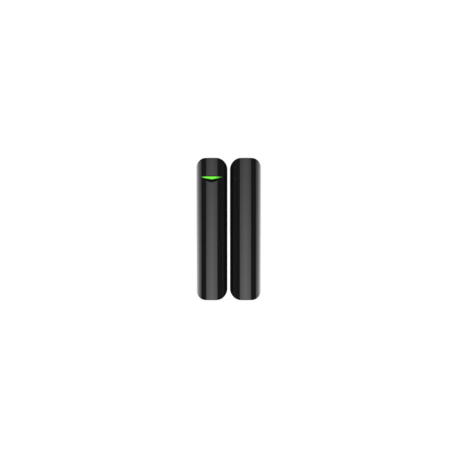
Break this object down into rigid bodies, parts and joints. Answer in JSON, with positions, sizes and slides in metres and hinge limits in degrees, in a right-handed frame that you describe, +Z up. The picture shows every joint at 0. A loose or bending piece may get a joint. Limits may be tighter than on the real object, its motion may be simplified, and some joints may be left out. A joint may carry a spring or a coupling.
{
  "type": "door contact sensor",
  "caption": "Slim two-piece wireless door contact sensor: a gloss black rounded pod with a green light in a notch, and a matching magnet pod, on sliding wall brackets.",
  "frame": {"origin": "middle of the sensor bracket's back face, on the wall or door frame", "axes": "+Z up along the pods, +Y into the wall, so the fronts face -Y, and +X from the sensor to the magnet"},
  "size_m": [0.0416, 0.022, 0.09],
  "materials": {
    "casing_plastic": "high-gloss black injection moulding",
    "light_guide": "clear moulding lit green",
    "bracket_plastic": "fine spark-eroded texture",
    "base_plastic": "satin moulding",
    "foam_tape": "closed-cell foam tape",
    "screw_steel": "zinc plated",
    "label": "blank printed label stock",
    "board": "green solder resist",
    "tinned_steel": "tinned sheet",
    "chip": "moulded package",
    "ceramic": "chip ceramic",
    "tantalum": "moulded case",
    "copper": "enamelled wire",
    "led": "clear package",
    "reed_glass": "drawn glass tube",
    "reed_metal": "plated nickel-iron",
    "switch_plastic": "moulded",
    "spring_steel": "drawn wire and strip",
    "plunger_plastic": "acetal",
    "button_plastic": "satin moulding",
    "contact_metal": "gold-flashed strip",
    "lead_insulation": "flexible insulation",
    "cell_metal": "nickel plated can",
    "cell_sleeve": "shrink sleeve",
    "cell_seal": "insulating ring",
    "magnet_nickel": "nickel plated",
    "foam_pad": "open-cell foam"
  },
  "bodies": {
    "sensor_bracket": {"sensor_bracket": "bracket_plastic", "sensor_tape_pads": "foam_tape"},
    "sensor_base": {"sensor_base": "base_plastic", "sensor_housing_screws": "screw_steel", "id_label": "label", "circuit_board": "board", "radio_shield": "tinned_steel", "microcontroller": "chip", "crystal": "tinned_steel", "ceramic_parts": "ceramic", "tantalum_capacitor": "tantalum", "antenna_coil": "copper", "status_led": "led", "reed_glass_tubes": "reed_glass", "reed_fixed_leads": "reed_metal", "tamper_switch_body": "switch_plastic", "tamper_spring": "spring_steel", "power_switch_body": "switch_plastic", "positive_contact": "contact_metal", "negative_contact": "contact_metal", "negative_spring": "spring_steel", "negative_lead": "lead_insulation"},
    "reed_blades": {"reed_moving_blades": "reed_metal"},
    "tamper_plunger": {"tamper_plunger": "plunger_plastic"},
    "power_button": {"power_button": "button_plastic"},
    "cell": {"cell_can": "cell_metal", "cell_sleeve": "cell_sleeve", "cell_seal_ring": "cell_seal"},
    "sensor_casing": {"sensor_casing": "casing_plastic", "light_guide": "light_guide"},
    "magnet_bracket": {"magnet_bracket": "bracket_plastic", "magnet_tape_pads": "foam_tape"},
    "magnet_base": {"magnet_base": "base_plastic", "magnet_housing_screws": "screw_steel", "bar_magnet": "magnet_nickel", "magnet_clip": "spring_steel", "magnet_foam_pad": "foam_pad"},
    "magnet_casing": {"magnet_casing": "casing_plastic"}
  },
  "joints": [
    {"name": "sensor_slide_off", "type": "slide", "parent": "sensor_bracket", "child": "sensor_base", "axis": [0, 0, 1], "range_m": [0, 0.005]},
    {"name": "casing_pull_off", "type": "slide", "parent": "sensor_base", "child": "sensor_casing", "axis": [0, -1, 0], "range_m": [0, 0.04]},
    {"name": "cell_lift_out", "type": "slide", "parent": "sensor_base", "child": "cell", "axis": [0, -1, 0], "range_m": [0, 0.02]},
    {"name": "tamper_release", "type": "slide", "parent": "sensor_base", "child": "tamper_plunger", "axis": [0, 1, 0], "range_m": [0, 0.0008], "deforming": ["tamper_spring"]},
    {"name": "power_press", "type": "slide", "parent": "sensor_base", "child": "power_button", "axis": [0, -1, 0], "range_m": [0, 0.0004], "stiffness_N_per_m": 800},
    {"name": "reed_opening", "type": "slide", "parent": "sensor_base", "child": "reed_blades", "axis": [0, 1, 0], "range_m": [0, 0.0001]},
    {"name": "magnet_separation", "type": "slide", "parent": "sensor_bracket", "child": "magnet_bracket", "axis": [1, 0, 0], "range_m": [0, 0.05]},
    {"name": "magnet_slide_off", "type": "slide", "parent": "magnet_bracket", "child": "magnet_base", "axis": [0, 0, 1], "range_m": [0, 0.005]},
    {"name": "magnet_casing_pull_off", "type": "slide", "parent": "magnet_base", "child": "magnet_casing", "axis": [0, -1, 0], "range_m": [0, 0.04]}
  ],
  "couplings": [
    {"joint": "cell_lift_out", "follows": "casing_pull_off", "ratio": 0.5},
    {"joint": "tamper_release", "follows": "sensor_slide_off", "ratio": 0.16},
    {"joint": "reed_opening", "follows": "magnet_separation", "ratio": 0.002}
  ]
}
